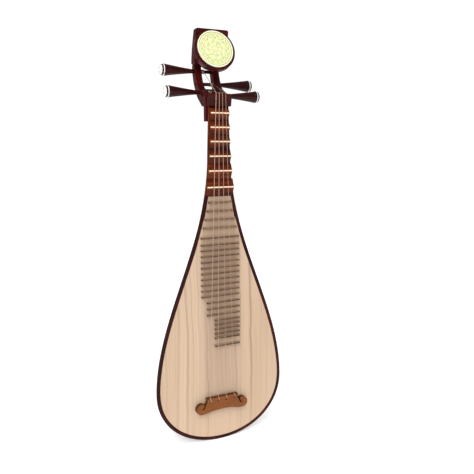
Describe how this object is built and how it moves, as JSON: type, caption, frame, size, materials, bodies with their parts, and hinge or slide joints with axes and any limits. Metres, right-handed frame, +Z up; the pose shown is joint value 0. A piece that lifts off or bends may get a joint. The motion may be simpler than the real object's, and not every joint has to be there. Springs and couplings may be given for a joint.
{
  "type": "pipa",
  "caption": "Pear-shaped plucked lute with a shallow bowl back, high and low frets, a tie bridge, strings, a curved pegbox with turning pegs and a round head medallion.",
  "frame": {"origin": "lowest point of the body's rim, in the plane of the soundboard, on the plane of symmetry", "axes": "+Z up the neck to the head, +Y from the soundboard to the back, so the front faces -Y, +X to the right of someone who faces the front"},
  "size_m": [0.333, 0.1014, 0.9915],
  "materials": {
    "rosewood": "polished dark red-brown hardwood",
    "rosewood_head": "polished red hardwood",
    "rosewood_neck": "satin red-brown hardwood",
    "rosewood_dark": "satin dark hardwood",
    "xiang_wood": "satin brown hardwood",
    "paulownia": "bare straight-grained softwood",
    "spruce": "bare softwood",
    "bamboo": "satin bamboo",
    "bamboo_pin": "satin bamboo",
    "blackwood": "polished near-black hardwood",
    "carved_bone": "carved pale bone-like plate",
    "pale_bone": "polished bone",
    "white_trim": "polished white",
    "string_wire": "wound nylon over steel"
  },
  "bodies": {
    "instrument": {"back_shell": "rosewood", "soundboard": "paulownia", "upper_brace": "spruce", "lower_brace": "spruce", "sound_post": "spruce", "neck": "rosewood_neck", "nut": "rosewood_dark", "upper_pins": "bamboo_pin", "long_pins": "bamboo_pin", "middle_pins": "bamboo_pin", "short_pins": "bamboo_pin", "bridge": "bamboo", "pegbox_left_cheek": "rosewood_head", "pegbox_right_cheek": "rosewood_head", "pegbox_base": "rosewood_head", "head_block": "rosewood_head", "head_boss": "rosewood_head", "medallion": "carved_bone", "medallion_rim": "pale_bone", "xiang_1": "xiang_wood", "xiang_strip_1": "pale_bone", "xiang_2": "xiang_wood", "xiang_strip_2": "pale_bone", "xiang_3": "xiang_wood", "xiang_strip_3": "pale_bone", "xiang_4": "xiang_wood", "xiang_strip_4": "pale_bone", "xiang_5": "xiang_wood", "xiang_strip_5": "pale_bone", "xiang_6": "xiang_wood", "xiang_strip_6": "pale_bone", "string_1": "string_wire", "string_2": "string_wire", "string_3": "string_wire", "string_4": "string_wire"},
    "upper_left_peg_body": {"upper_left_peg": "blackwood", "upper_left_peg_trim": "white_trim", "upper_left_winding": "string_wire"},
    "upper_right_peg_body": {"upper_right_peg": "blackwood", "upper_right_peg_trim": "white_trim", "upper_right_winding": "string_wire"},
    "lower_left_peg_body": {"lower_left_peg": "blackwood", "lower_left_peg_trim": "white_trim", "lower_left_winding": "string_wire"},
    "lower_right_peg_body": {"lower_right_peg": "blackwood", "lower_right_peg_trim": "white_trim", "lower_right_winding": "string_wire"}
  },
  "joints": [
    {"name": "upper_left_peg_turn", "type": "hinge", "parent": "instrument", "child": "upper_left_peg_body", "pos_m": [-0.03, 0.0735, 0.9003], "axis": [-1, 0, 0], "continuous": true},
    {"name": "upper_right_peg_turn", "type": "hinge", "parent": "instrument", "child": "upper_right_peg_body", "pos_m": [0.03, 0.0625, 0.87013], "axis": [1, 0, 0], "continuous": true},
    {"name": "lower_left_peg_turn", "type": "hinge", "parent": "instrument", "child": "lower_left_peg_body", "pos_m": [-0.03, 0.0465, 0.84918], "axis": [-1, 0, 0], "continuous": true},
    {"name": "lower_right_peg_turn", "type": "hinge", "parent": "instrument", "child": "lower_right_peg_body", "pos_m": [0.03, 0.022, 0.84101], "axis": [1, 0, 0], "continuous": true}
  ]
}
